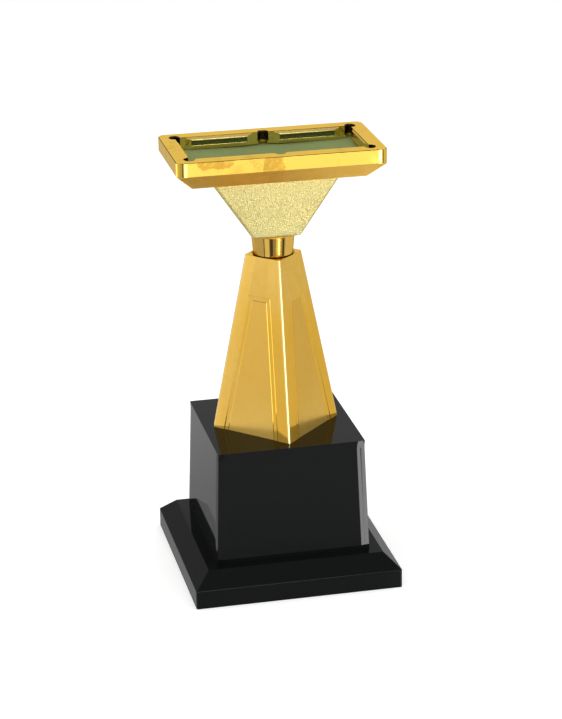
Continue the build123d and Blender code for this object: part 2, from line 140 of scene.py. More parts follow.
class TrophyColours(bpy.types.PropertyGroup):
    """Colours of the finishes."""
    mirror_gold: a_colour("Mirror Gold", "Bright plated gold", (0.95, 0.62, 0.105))
    thin_gold: a_colour("Thin Gold", "Paler plating inside the rail", (0.94, 0.74, 0.27))
    deep_gold: a_colour("Deep Gold", "Darker tone that clouds the plating", (0.78, 0.42, 0.045))
    satin_gold: a_colour("Satin Gold", "Plating over a satin surface", (0.89, 0.575, 0.138))
    polished_gold: a_colour("Polished Gold", "Plating over the column's borders", (0.94, 0.54, 0.068))
    pale_gold: a_colour("Pale Gold", "Plating over the grained wedge", (0.79, 0.73, 0.333))
    edge_tint: a_colour(
        "Edge Tint", "Keeps the plating's colour where it is seen at a low angle", (1.0, 0.86, 0.52))
    gloss_black: a_colour("Gloss Black", "Moulded black of the base", (0.0035, 0.0042, 0.004))
    cloth_green: a_colour("Cloth Green", "Sage cloth of the bed", (0.215, 0.262, 0.098))


class StageSettings(bpy.types.PropertyGroup):
    """Light levels of the studio."""
    sky_level: a_level("Sky Level", "Brightness of the surround as matt surfaces are lit by it", 0.62)
    key_level: a_level("Key Level", "Brightness of the left softbox", 1.25)
    fill_level: a_level("Fill Level", "Brightness of the right softbox", 1.05)
    top_level: a_level("Top Level", "Brightness of the overhead softbox", 1.0)


# ---------------- node trees
class Term:
    """A value in a node tree on which plain arithmetic works."""

    def __init__(self, maker, socket):
        self.maker = maker
        self.socket = socket

    def math(self, operation, first, second=0.0):
        return self.maker.term("ShaderNodeMath", {"operation": operation}, {0: first, 1: second})

    def __add__(self, other):
        return self.math("ADD", self, other)

    def __radd__(self, other):
        return self.math("ADD", other, self)

    def __sub__(self, other):
        return self.math("SUBTRACT", self, other)

    def __rsub__(self, other):
        return self.math("SUBTRACT", other, self)

    def __mul__(self, other):
        return self.math("MULTIPLY", self, other)

    def __truediv__(self, other):
        return self.math("DIVIDE", self, other)

    def __pow__(self, other):
        return self.math("POWER", self, other)

    def above(self, edge):
        return self.math("GREATER_THAN", self, edge)

    def least(self, other):
        return self.math("MINIMUM", self, other)

    def most(self, other):
        return self.math("MAXIMUM", self, other)

    def size(self):
        return self.math("ABSOLUTE", self)


class Maker:
    """Makes the nodes of one tree."""

    def __init__(self, tree):
        self.tree = tree
        self.tree.nodes.clear()

    def node(self, kind, settings=None, inputs=None):
        """A node of that kind: its settings first, then the values or links of its sockets."""
        made = self.tree.nodes.new(kind)
        for key, value in (settings or {}).items():
            setattr(made, key, value)
        for key, value in (inputs or {}).items():
            socket = made.inputs[key]
            if isinstance(value, Term):
                self.tree.links.new(value.socket, socket)
            elif isinstance(value, bpy.types.NodeSocket):
                self.tree.links.new(value, socket)
            else:
                socket.default_value = value
        return made

    def term(self, kind, settings=None, inputs=None):
        """The same, its first output as a value to calculate with."""
        return Term(self, self.node(kind, settings, inputs).outputs[0])

    def place(self):
        """Object coordinates, in metres."""
        return self.node("ShaderNodeTexCoord").outputs["Object"]

    def stretched(self, scale, turn=(0, 0, 0)):
        """Object coordinates turned and scaled along each axis."""
        return self.node("ShaderNodeMapping", None,
                         {"Vector": self.place(), "Rotation": turn, "Scale": scale}).outputs[0]

    def noise(self, size, detail=3.0, roughness=0.55, vector=None, distortion=0.0):
        """Noise whose lumps are about the given size in metres, from 0 to 1."""
        return self.term("ShaderNodeTexNoise", None, {
            "Vector": vector or self.place(), "Scale": 1.0 / size, "Detail": detail,
            "Roughness": roughness, "Distortion": distortion})

    def cells(self, size):
        """Distance within cells about the given size in metres."""
        return self.term("ShaderNodeTexVoronoi", None, {"Vector": self.place(), "Scale": 1.0 / size})

    def span(self, value, low, high, new_low=0.0, new_high=1.0):
        """The value moved from one range to another, smoothed and clamped."""
        return self.term("ShaderNodeMapRange", {"interpolation_type": "SMOOTHSTEP"}, {
            "Value": value, "From Min": low, "From Max": high, "To Min": new_low, "To Max": new_high})

    def window(self, value, low, high, soft):
        """1 between the two limits and 0 outside, with edges of the given softness."""
        return (self.span(value, low - soft / 2, low + soft / 2)
                * self.span(value, high - soft / 2, high + soft / 2, 1.0, 0.0))

    def blend(self, factor, first, second):
        """A colour between two colours."""
        return self.node("ShaderNodeMix", {"data_type": "RGBA"},
                         {0: factor, 6: first, 7: second}).outputs[2]

    def bump(self, height, distance, strength, under=None):
        """A normal from a height, over another normal where one is given."""
        inputs = {"Height": height, "Distance": distance, "Strength": strength}
        if under is not None:
            inputs["Normal"] = under
        return self.node("ShaderNodeBump", None, inputs).outputs[0]

    def axes(self, vector=None):
        """X, Y and Z of a vector as three values."""
        parts = self.node("ShaderNodeSeparateXYZ", None, {0: vector or self.place()})
        return [Term(self, parts.outputs[i]) for i in range(3)]


def rgba(name, level=1.0):
    """A colour of the settings with its alpha, at a level."""
    red, green, blue = getattr(bpy.context.scene.trophy_colours, name)
    return (red * level, green * level, blue * level, 1.0)


def material(name, build):
    """A new material whose surface is the shader that build returns."""
    made = bpy.data.materials.new(name)
    made.use_nodes = True
    maker = Maker(made.node_tree)
    surface = build(maker)
    maker.node("ShaderNodeOutputMaterial", None, {"Surface": surface})
    return made


def principled(maker, tone, roughness, **sockets):
    """The main shader: its colour, its roughness and its other sockets by name."""
    return maker.node("ShaderNodeBsdfPrincipled", None,
                      {"Base Color": tone, "Roughness": roughness, **sockets}).outputs[0]


def plating(maker, tone, roughness, normal):
    """Gold plate that keeps its colour at low angles."""
    return principled(maker, tone, roughness,
                      **{"Metallic": 1.0, "Specular Tint": rgba("edge_tint"), "Normal": normal})


# ---------------- finishes
PALE_DUST = (0.30, 0.30, 0.30, 1.0)
GOLD_MARK_AND_REFLECTION = (0.66, 0.38, 0.05, 1.0)
GOLD_BRIM_SHADE = (0.30, 0.19, 0.04, 1.0)
GOLD_EDGE_HIGHLIGHT = (0.98, 0.82, 0.44, 1.0)
GOLD_SEAM_SHADE = (0.16, 0.07, 0.012, 1.0)
GOLD_PIT = (0.44, 0.36, 0.12, 1.0)
LEFT_PATCH = (-41 * MM, -22 * MM, 7 * MM)       # painted reflections on the rail's front: ends and softness
MIDDLE_PATCH = (-10 * MM, 1 * MM, 5 * MM)


def gloss_black(m):
    """Moulded black: deep gloss, faint flow ripples, a little dust and hairline scuffs."""
    dust = m.span(m.noise(0.35 * MM, 2.0, 0.7), 0.66, 0.80)
    cloud = m.noise(22 * MM, 3.0)
    scuff = m.span(m.noise(1.0, 4.0, 0.6, m.stretched((90, 1400, 1400), (0.3, 0.2, 0.5))), 0.62, 0.72)
    marks = dust * 0.35 + scuff * 0.25 * cloud
    tone = m.blend(marks * 0.05, rgba("gloss_black"), PALE_DUST)
    ripple = m.bump(m.noise(26 * MM, 1.0, 0.4), 0.05 * MM, 0.35)
    fine = m.bump(m.noise(0.8 * MM, 2.0), 0.002 * MM, 0.35, ripple)
    return principled(m, tone, 0.035 + cloud * 0.03 + marks * 0.18,
                      **{"Specular IOR Level": 0.27, "Normal": fine})


def mirror_gold(m):
    """Plated gold over polished plastic: pin marks, patches and clouds painted as reflections, soft waves,
    painted shade along the inner top edge, paler inside the rail.
    """
    x, y, z = m.axes()
    drift = m.noise(6 * MM, 4.0, 0.6) - 0.5
    fade = m.span(z, RAIL_LOW.z, RAIL_LOW.z + 5 * MM, 0.3, 1.0)
    # Painted reflections: darker patches on the rail's front, fading lower down.
    patch = m.window(x, *LEFT_PATCH) * fade + m.window(x, *MIDDLE_PATCH)
    overlay = m.span(patch + drift * 1.9, 0.60, 0.80) * m.span(m.noise(2.4 * MM, 2.0), 0.25, 0.6, 0.55, 1.0)
    front = m.span(y, RAIL_LOW.y + 0.3 * MM, RAIL_LOW.y + 0.6 * MM, 1.0, 0.0)
    cloud = m.span(m.noise(11 * MM, 4.0, 0.62, distortion=0.6), 0.52, 0.70)
    speck = m.span(m.noise(0.7 * MM, 2.0, 0.7), 0.70, 0.82)
    # Pin marks, with the patches and clouds painted on as reflections.
    marks_and_reflections = (overlay * front + cloud * 0.30 + speck * 0.12).least(1.0)
    opening = ((RAIL_HIGH.x - RAIL_OPENING - x.size()).above(0.0)
               * (RAIL_HIGH.y - RAIL_OPENING - y.size()).above(0.0))
    inside = opening * m.span(z, RAIL_TOP - 0.6 * MM, RAIL_TOP - 0.3 * MM, 1.0, 0.0)
    # Painted shade: a darker band along the rail's inner top edge.
    brim_shade = opening * m.window(z, RAIL_TOP - 0.30 * MM, RAIL_TOP - 0.02 * MM, 0.04 * MM)
    bright = m.blend(brim_shade * 0.75, rgba("mirror_gold"), GOLD_BRIM_SHADE)
    plate = m.blend(inside, bright, rgba("thin_gold"))
    tone = m.blend(marks_and_reflections, plate, GOLD_MARK_AND_REFLECTION)
    wave = m.bump(m.noise(16 * MM, 1.0, 0.5), 0.05 * MM, 0.30)
    fine = m.bump(m.noise(1.2 * MM, 2.0), 0.002 * MM, 0.4, wave)
    return plating(m, tone, 0.06 + cloud * 0.06 + speck * 0.06, fine)


def polished_gold(m):
    """Plated gold of the column's borders and the collar: painted light, paler at the top and on the left, a
    painted highlight on the edges, painted shade round the collar's foot.
    """
    x, y, z = m.axes()
    mottle = m.noise(5 * MM, 4.0, 0.6)
    streak = m.noise(1.0, 2.0, 0.5, m.stretched((420, 420, 9)))
    # Painted light: paler towards the top and on the left side.
    rise = m.span(z, COLUMN_TOP - 34 * MM, COLUMN_TOP - 12 * MM)
    left = m.span(x - y, -16 * MM, -6 * MM, 0.75, 0.0)
    light = (rise * 0.85 + 0.1).most(left) * m.span(streak, 0.30, 0.60, 0.55, 1.0)
    pale = m.blend(light, rgba("polished_gold"), rgba("satin_gold", 1.04))
    clouded = m.blend(m.span(mottle, 0.35, 0.75, 0.0, 0.22), pale, rgba("deep_gold"))
    radius = (x * x + y * y) ** 0.5
    # Painted shade: a dark ring on the column's top round the collar's foot.
    collar_foot_shade = (m.window(z, COLUMN_TOP - 0.1 * MM, COLUMN_TOP + 0.5 * MM, 0.1 * MM)
            * m.span(radius, COLLAR_FOOT + 0.15 * MM, COLLAR_FOOT + 1.25 * MM, 1.0, 0.0))
    # Painted highlight: paler gold along the column's four leaning edges.
    near_x, near_y = [m.span(axis.size(), 0.5 * MM, 1.0 * MM, 1.0, 0.0) for axis in (x, y)]
    edge = near_x.most(near_y) * (COLUMN_TOP - z).above(0.0)
    overlay = m.blend(edge * 0.5, clouded, GOLD_EDGE_HIGHLIGHT)
    tone = m.blend(collar_foot_shade * 0.9, overlay, GOLD_SEAM_SHADE)
    grain = m.bump(streak, 0.02 * MM, 0.30)
    return plating(m, tone, 0.07 + mottle * 0.05, grain)


def satin_gold(m):
    """Plated gold over a satin surface: fine upright brushing and a soft mottle, with painted light that
    leaves it paler at the foot.
    """
    mottle = m.noise(3.2 * MM, 4.0, 0.6)
    brush = m.noise(1.0, 2.0, 0.5, m.stretched((2600, 2600, 260)))
    z = m.axes()[2]
    sweep = m.noise(26 * MM, 2.0, 0.5)
    # Painted light: the foot stays paler, darker gold higher up over a wavy line.
    rise = m.span(z + sweep * (30 * MM), BLOCK_TOP + 12 * MM, BLOCK_TOP + 44 * MM, 0.0, 0.42)
    tone = m.blend(rise + m.span(mottle, 0.35, 0.75, 0.0, 0.14), rgba("satin_gold"), rgba("deep_gold"))
    grain = m.bump(brush + m.noise(0.45 * MM, 3.0) * 0.8, 0.012 * MM, 0.6)
    return plating(m, tone, 0.16 + mottle * 0.08, grain)


def tray_gold(m):
    """Plated gold over the fine texture of the tray's flare."""
    texture = m.noise(0.55 * MM, 3.0, 0.6)
    cloud = m.noise(12 * MM, 3.0)
    clouded = m.blend(m.span(cloud, 0.3, 0.7, 0.0, 0.35), rgba("satin_gold", 1.10),
                      rgba("deep_gold"))
    grain = m.span(m.noise(0.6 * MM, 2.0, 0.7), 0.50, 0.72, 0.0, 0.55)
    tone = m.blend(grain, clouded, rgba("deep_gold", 0.75))
    return plating(m, tone, 0.40 + texture * 0.1, m.bump(texture, 0.06 * MM, 0.6))


def grained_gold(m):
    """Pale plated gold over a cast grain that sparkles, with painted light that makes its foot paler; deeper
    at its top.
    """
    grain = m.cells(0.48 * MM)
    lumps = m.noise(0.45 * MM, 2.0, 0.7)
    rise = (m.axes()[2] - WEDGE_BOTTOM) / (WEDGE_TOP - WEDGE_BOTTOM)
    pits = m.span(m.noise(0.72 * MM, 2.0, 0.75), 0.43, 0.60)
    overlay = m.blend(m.span(lumps, 0.40, 0.62, 0.0, 0.45), rgba("pale_gold"),
                   rgba("satin_gold", 0.94))
    tone = m.blend(pits * 0.66, overlay, GOLD_PIT)
    # Painted light makes the foot paler; the top is darker.
    low = m.blend(m.span(rise, 0.0, 0.30, 0.5, 0.0), tone, rgba("pale_gold", 1.22))
    shade = m.blend(m.span(rise, 0.72, 1.05, 0.0, 0.30), low, rgba("satin_gold", 0.95))
    return plating(m, shade, 0.28 + lumps * 0.12, m.bump(grain * 0.7 + lumps, 0.16 * MM, 0.85))


def liner_black(m):
    """Gloss black of the pocket liners."""
    cloud = m.noise(1.5 * MM)
    tone = m.blend(cloud, (0.004, 0.003, 0.002, 1), (0.012, 0.007, 0.004, 1))
    return principled(m, tone, 0.12 + cloud * 0.1, **{"Specular IOR Level": 0.35})


def nose_green(m):
    """Dark green gloss along the noses of the cushions, brown towards the top."""
    streak = m.noise(1.0, 3.0, 0.6, m.stretched((300, 300, 1800)))
    high = m.span(m.axes()[2], RAIL_TOP - 4.0 * MM, RAIL_TOP - 1.4 * MM)
    moss = m.blend(m.span(streak, 0.35, 0.65), (0.050, 0.085, 0.014, 1), (0.085, 0.105, 0.020, 1))
    tone = m.blend(high, moss, (0.050, 0.045, 0.010, 1))
    return principled(m, tone, 0.22 + streak * 0.1)


def cloth_green(m):
    """Short-napped cloth: soft clouding, fibre grain and a dull sheen, with painted light that makes it
    lighter at the ends.
    """
    weave = m.noise(0.32 * MM, 3.0, 0.7)
    lay = m.noise(1.0, 3.0, 0.6, m.stretched((420, 1500, 1500)))
    cloud = m.noise(16 * MM, 2.0)
    tone = m.blend(m.span(weave + lay, 0.75, 1.25), rgba("cloth_green", 0.84), rgba("cloth_green", 1.14))
    # Painted light: lighter towards both ends of the bed.
    far = m.span(m.axes()[0].size(), 10 * MM, 40 * MM, 0.0, 0.6)
    ends = m.blend(far, tone, rgba("cloth_green", 1.32))
    shade = m.blend(m.span(cloud, 0.3, 0.7, 0.0, 0.3), ends, rgba("cloth_green", 0.96))
    return principled(m, shade, 0.92, **{"Specular IOR Level": 0.1, "Sheen Weight": 0.04,
                                         "Sheen Roughness": 0.5, "Normal": m.bump(weave, 0.06 * MM, 0.5)})


def zinc_plate(m):
    """Bright zinc plate with a faint crystal bloom."""
    bloom = m.cells(1.4 * MM)
    tone = m.blend(bloom, (0.60, 0.61, 0.63, 1), (0.74, 0.74, 0.73, 1))
    return principled(m, tone, 0.26 + bloom * 0.14,
                      **{"Metallic": 1.0, "Normal": m.bump(m.noise(0.6 * MM), 0.01 * MM, 0.4)})


def panel_grey(m):
    """Plain moulded sheet."""
    grain = m.noise(0.6 * MM)
    tone = m.blend(grain, (0.25, 0.25, 0.24, 1), (0.33, 0.33, 0.32, 1))
    return principled(m, tone, 0.55 + grain * 0.15, **{"Normal": m.bump(grain, 0.02 * MM, 0.4)})


MADE_FINISHES = {}
FINISHES = {build.__name__: build for build in (
    gloss_black, mirror_gold, polished_gold, satin_gold, tray_gold, grained_gold, liner_black,
    nose_green, cloth_green, zinc_plate, panel_grey)}


def finish(name):
    """The named finish, made at its first use."""
    if name not in MADE_FINISHES:
        MADE_FINISHES[name] = material(name, FINISHES[name])
    return MADE_FINISHES[name]


# ---------------- meshes
def piece(name, bm, finishes, sharp=32.0):
    """A mesh object at the origin, shaded smooth except across sharp edges."""
    bmesh.ops.recalc_face_normals(bm, faces=bm.faces)
    mesh = bpy.data.meshes.new(name)
    bm.to_mesh(mesh)
    bm.free()
    made = bpy.data.objects.new(name, mesh)
    bpy.context.scene.collection.objects.link(made)
    for finish_name in finishes:
        mesh.materials.append(finish(finish_name))
    mesh.shade_smooth()
    mesh.set_sharp_from_angle(angle=math.radians(sharp))
    return made


def soften(made, width, segments, angle):
    """Rounds the sharp edges and keeps the flats flat, then makes the result plain mesh."""
    bevel = made.modifiers.new("edges", "BEVEL")
    bevel.width = width
    bevel.segments = segments
    bevel.limit_method = "ANGLE"
    bevel.angle_limit = math.radians(angle)
    bevel.use_clamp_overlap = True
    bevel.miter_outer = "MITER_ARC"
    weigh = made.modifiers.new("flats", "WEIGHTED_NORMAL")
    weigh.weight = 100
    weigh.keep_sharp = True
    plain(made)


def plain(made):
    """Turns the object's modifiers into mesh."""
    graph = bpy.context.evaluated_depsgraph_get()
    mesh = bpy.data.meshes.new_from_object(made.evaluated_get(graph), depsgraph=graph)
    mesh.name = made.name
    made.modifiers.clear()
    made.data = mesh


def seat(made, nodes):
    """Rides the piece on the body and lets it stand for its solids."""
    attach(made, BODY)
    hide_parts(*nodes)


def solid_copy(node, name, finishes, change=None):
    """A merged copy of a solid's mesh, its flat faces joined up, then changed by a function."""
    bm = bmesh.new()
    bm.from_mesh(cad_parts[node].data)
    bmesh.ops.remove_doubles(bm, verts=bm.verts, dist=0.004 * MM)
    bmesh.ops.dissolve_degenerate(bm, edges=bm.edges, dist=0.002 * MM)
    bmesh.ops.dissolve_limit(bm, angle_limit=math.radians(0.6), verts=bm.verts, edges=bm.edges)
    if change:
        change(bm)
    return piece(name, bm, finishes)


def rounded(half_x, half_y, radius, steps=6):
    """Rounded rectangle, anticlockwise, as many points whatever its size."""
    points = []
    for corner, (sx, sy) in enumerate(((1, 1), (-1, 1), (-1, -1), (1, -1))):
        centre = (sx * (half_x - radius), sy * (half_y - radius))
        for step in range(steps + 1):
            angle = math.radians(90 * corner + 90 * step / steps)
            points.append((centre[0] + radius * math.cos(angle), centre[1] + radius * math.sin(angle)))
    return points


def ring_in(outline, radius):
    """Circle with one point straight inside each point of an outline."""
    return [(radius * x / math.hypot(x, y), radius * y / math.hypot(x, y)) for x, y in outline]


def skin(rings, closed=False):
    """Joins rings of equal length, each (outline, height), into one skin, capped if it isn't closed."""
    bm = bmesh.new()
    rows = [[bm.verts.new((x, y, z)) for x, y in outline] for outline, z in rings]
    pairs = list(zip(rows, rows[1:]))
    if closed:
        pairs.append((rows[-1], rows[0]))
    for low, high in pairs:
        for i in range(len(low)):
            j = (i + 1) % len(low)
            bm.faces.new((low[i], low[j], high[j], high[i]))
    if not closed:
        bm.faces.new(rows[0])
        bm.faces.new(rows[-1])
    return bm


# ---------------- base
# Millimetres along a side from the block's corner, and the share of the fall there.
FALL_MARKS = ((0.0, 1.0), (1.1, 0.80), (2.2, 0.38), (3.2, 0.12), (4.3, 0.0))


def fallen(half, fall):
    """Square whose sides lean away towards its corners in four flats, anticlockwise."""
    corner = half - fall
    side = [(-corner + across * MM, -half + fall * share) for across, share in FALL_MARKS]
    side += [(-x, y) for x, y in reversed(side[1:])]
    points = []
    for turn in range(4):
        spin = Matrix.Rotation(math.radians(90 * turn), 2)
        points += [tuple(spin @ Vector(p)) for p in side]
    return points


def make_block():
    """Gloss black block, its faces leaning away at the upright edges, hollow inside."""
    sizes = bpy.context.scene.trophy_sizes
    height = BLOCK_TOP - DECK_Z
    wall, deck, fade, least = 2.5 * MM, 3.0 * MM, 0.07, 0.25
    rings = []
    # The fall grows a little with height, then fades to its least share over the last stretch.
    for share in (0.0, 0.02, 0.5, 0.93, 0.96, 0.985, 1.0):
        half = sizes.block_foot - sizes.block_draft * share
        fall = sizes.corner_fall * (0.85 + 0.15 * share) * min(1.0, least + (1 - share) / fade)
        rings.append((fallen(half, fall), DECK_Z + height * share))
    hole = ring_in(rings[-1][0], ROD_HOLE)
    inner = sizes.block_foot - wall
    rings += [(hole, BLOCK_TOP), (hole, BLOCK_TOP - deck),
              (fallen(inner - sizes.block_draft, sizes.corner_fall), BLOCK_TOP - deck),
              (fallen(inner, sizes.corner_fall), DECK_Z)]
    made = piece("block", skin(rings, closed=True), ["gloss_black"])
    soften(made, sizes.edge_round, 3, 34.0)
    seat(made, ["base_block"])


def make_plinth():
    """Gloss black plinth with softened bevels, ribs and boss underneath."""
    made = solid_copy("base_plinth", "plinth", ["gloss_black"])
    soften(made, bpy.context.scene.trophy_sizes.edge_round, 3, 20.0)
    seat(made, ["base_plinth"])


# ---------------- column
def column_outline(half, sizes, depths, turn):
    """Square with rounded corners and a stepped recess in each side, anticlockwise.

    The recess has the given depths at its first ledge and at its floor."""
    radius, fall, steps = sizes.column_edge, sizes.border_fall, 5
    border, wall, ledge = sizes.panel_border, sizes.panel_wall, sizes.panel_ledge
    marks = ((border, 0.0), (border + wall, depths[0]), (border + ledge, depths[0]),
             (border + ledge + wall, depths[1]))
    side = [(-half + across, deep) for across, deep in marks]
    side += [(-x, deep) for x, deep in reversed(side)]
    angles = [math.radians(90 * step / steps) for step in range(steps + 1)]
    corner = [(half - fall - radius + radius * math.sin(a), fall + radius - radius * math.cos(a))
              for a in angles]
    points = []
    for quarter in range(4):
        spin = Matrix.Rotation(math.radians(90 * quarter) + turn, 2)
        points += [tuple(spin @ Vector((x, -half + y))) for x, y in side + corner]
    return points


def make_column():
    """Gold column: polished borders and ledges round satin panels, hollow, open at its foot.

    The sloping quads at the upper corners of each recess are split along their folds."""
    sizes = bpy.context.scene.trophy_sizes
    foot, head = sizes.column_foot / 2, sizes.column_head / 2
    thickness, deck = 2.4 * MM, 3.0 * MM
    turn = math.radians(45)
    height = COLUMN_TOP - BLOCK_TOP
    lean = (foot - head) / height
    panel_top = height - sizes.panel_head
    wall, ledge = sizes.panel_wall, sizes.panel_ledge
    flush, stepped = (0.0, 0.0), (sizes.panel_step, sizes.panel_step)
    sunk = (sizes.panel_step, sizes.panel_depth)
    levels = ((0.0, sunk), (panel_top - ledge - wall, sunk), (panel_top - ledge, stepped),
              (panel_top - wall, stepped), (panel_top, flush), (height, flush))
    rings = [(column_outline(foot - lean * z, sizes, depths, turn), BLOCK_TOP + z) for z, depths in levels]
    hole = ring_in(rings[-1][0], ROD_HOLE)
    inside_head = column_outline(head - thickness + lean * deck, sizes, flush, turn)
    inside_foot = column_outline(foot - thickness, sizes, flush, turn)
    count = len(hole)
    side = count // 4
    bm = skin(rings + [(hole, COLUMN_TOP), (hole, COLUMN_TOP - deck),
                       (inside_head, COLUMN_TOP - deck), (inside_foot, BLOCK_TOP)], closed=True)
    bm.faces.ensure_lookup_table()
    corners = []
    # Across each side, quads 0 to 6 are wall, ledge, wall, floor, wall, ledge and wall.
    for quarter in range(4):
        bm.faces[quarter * side + 3].material_index = 1
        for row, left, right in ((1, 2, 4), (3, 0, 6)):
            corners.append((bm.faces[row * count + quarter * side + left], True))
            corners.append((bm.faces[row * count + quarter * side + right], False))
    for face, rising in corners:
        low_left, low_right, high_right, high_left = face.verts[:]
        bmesh.utils.face_split(face, *((low_right, high_left) if rising else (low_left, high_right)))
    made = piece("pillar", bm, ["polished_gold", "satin_gold"], 50.0)
    soften(made, 0.06 * MM, 2, 14.0)
    seat(made, ["column"])


def make_ferrule():
    """Turned gold collar, wider towards its bevelled lip."""
    segments, bore, lip, bevel = 128, 6.6 * MM, 0.6 * MM, 0.15 * MM
    mouth = FERRULE_HIGH.x + 0.4 * MM
    profile = ((bore, COLUMN_TOP), (COLLAR_FOOT - bevel, COLUMN_TOP), (COLLAR_FOOT, COLUMN_TOP + bevel),
               (mouth, WEDGE_BOTTOM - lip), (mouth - bevel, WEDGE_BOTTOM - 0.4 * lip),
               (mouth - 0.55 * MM, WEDGE_BOTTOM), (bore, WEDGE_BOTTOM))
    turns = [2 * math.pi * step / segments for step in range(segments)]
    rings = [([(radius * math.cos(a), radius * math.sin(a)) for a in turns], z) for radius, z in profile]
    made = piece("collar", skin(rings, closed=True), ["polished_gold"], 15.0)
    seat(made, ["ferrule"])


# ---------------- support wedge
def make_wedge():
    """Grained pale gold wedge with a rounded foot, hollow."""
    foot = (11.5 * MM, 9.9 * MM)
    mouth = (31.2 * MM, 11.0 * MM)
    corner, wall, floor = 1.6 * MM, 2.0 * MM, 3.0 * MM
    foot_rounding = ((0.0, 1.0), (0.12, 0.5), (0.4, 0.16), (0.9, 0.0))       # height and inset in mm
    height = WEDGE_TOP - WEDGE_BOTTOM

    def at(z, inset=0.0):
        half_x, half_y = [low + (high - low) * z / height - inset for low, high in zip(foot, mouth)]
        return (rounded(half_x, half_y, max(corner - inset, 0.5 * MM)), WEDGE_BOTTOM + z)

    outside = [at(z * MM, inset * MM) for z, inset in foot_rounding]
    outside += [at(height * share) for share in (0.25, 0.5, 0.75, 0.94, 1.0)]
    inside = [at(height, wall), at(height * 0.5, wall), at(floor, wall)]
    circle = ring_in(outside[0][0], ROD_HOLE)
    hole = [(circle, WEDGE_BOTTOM + floor), (circle, WEDGE_BOTTOM)]
    made = piece("wedge", skin(outside + inside + hole, closed=True), ["grained_gold"])
    seat(made, ["support_wedge"])


# ---------------- table
def make_tray():
    """Flared tray with softened edges."""
    made = solid_copy("table_tray", "tray", ["tray_gold"])
    soften(made, 0.25 * MM, 2, 25.0)
    seat(made, ["table_tray"])


def deepen_pockets(bm):
    """Makes the pockets deeper where they cut into the rail, the corner ones more than the middle ones."""
    corner_share, middle_share = 0.38, 0.14
    for centre, share in ((RAIL_HIGH.x - RAIL_WIDTH, corner_share), (0.0, middle_share)):
        for vert in bm.verts:
            past = abs(vert.co.y) - (RAIL_HIGH.y - RAIL_WIDTH)
            if 0.0 < past < POCKET_REACH and abs(abs(vert.co.x) - centre) < POCKET_REACH:
                vert.co.y += math.copysign(share * past, vert.co.y)


def make_rail():
    """Mirror gold rail with six pocket notches; its front face falls away a little at both ends."""
    def fall_ends(bm):
        corner, fall, fall_length = 3.5 * MM, 0.06 * MM, 1.5 * MM
        for side in (-1, 1):
            flat_end = side * (RAIL_HIGH.x - corner)
            cut = flat_end - side * fall_length
            bmesh.ops.bisect_plane(bm, geom=[*bm.verts, *bm.edges, *bm.faces], dist=SAME_PLACE,
                                   plane_co=(cut, 0, 0), plane_no=(1, 0, 0))
            for vert in bm.verts:
                past = (vert.co.x - cut) * side
                if vert.co.y < RAIL_LOW.y + corner and past > 0:
                    outer = (RAIL_LOW.y + corner - vert.co.y) / corner
                    vert.co.y += fall * min(1.0, past / fall_length) * outer

    def shape(bm):
        deepen_pockets(bm)
        fall_ends(bm)

    made = solid_copy("rail_frame", "rail", ["mirror_gold"], shape)
    soften(made, 0.26 * MM, 3, 35.0)
    seat(made, ["rail_frame"])


def make_liners():
    """Black liners in the pockets."""
    for node, name in (("middle_pocket_liners", "liners_middle"), ("corner_pocket_liners", "liners_corner")):
        made = solid_copy(node, name, ["liner_black"], deepen_pockets)
        soften(made, 0.15 * MM, 2, 35.0)
        seat(made, [node])


def make_cushions():
    """Mitred gold cushions; the long ones have a green nose between two lips."""
    groove, near, lip, lip_drop = 0.2 * MM, 0.02 * MM, 1.5 * MM, 0.4 * MM
    for node in [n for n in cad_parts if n.startswith("cushion_")]:
        low, high = span(node)

        def shape(bm):
            """Paints the floor of a long cushion's groove and lowers the upper lip a little."""
            if "end" in node:
                return
            for face in bm.faces:
                past = abs(face.calc_center_median().y) - min(abs(low.y), abs(high.y)) - groove
                if abs(past) < near and abs(face.normal.y) > 0.9:
                    face.material_index = 1
            for vert in bm.verts:
                if high.z - lip < vert.co.z < high.z - 0.1 * MM:
                    vert.co.z -= lip_drop

        made = solid_copy(node, node.replace("cushion", "strip"), ["mirror_gold", "nose_green"], shape)
        soften(made, 0.18 * MM, 4, 35.0)
        seat(made, [node])


def new_tree(name, *numbers):
    """A node tree that changes a mesh by the named numbers, with its maker and its input node."""
    tree = bpy.data.node_groups.new(name, "GeometryNodeTree")
    tree.interface.new_socket("Geometry", in_out="INPUT", socket_type="NodeSocketGeometry")
    for number in numbers:
        kind = "NodeSocketInt" if number == "Seed" else "NodeSocketFloat"
        tree.interface.new_socket(number, in_out="INPUT", socket_type=kind)
    tree.interface.new_socket("Geometry", in_out="OUTPUT", socket_type="NodeSocketGeometry")
    maker = Maker(tree)
    return tree, maker, maker.node("NodeGroupInput")


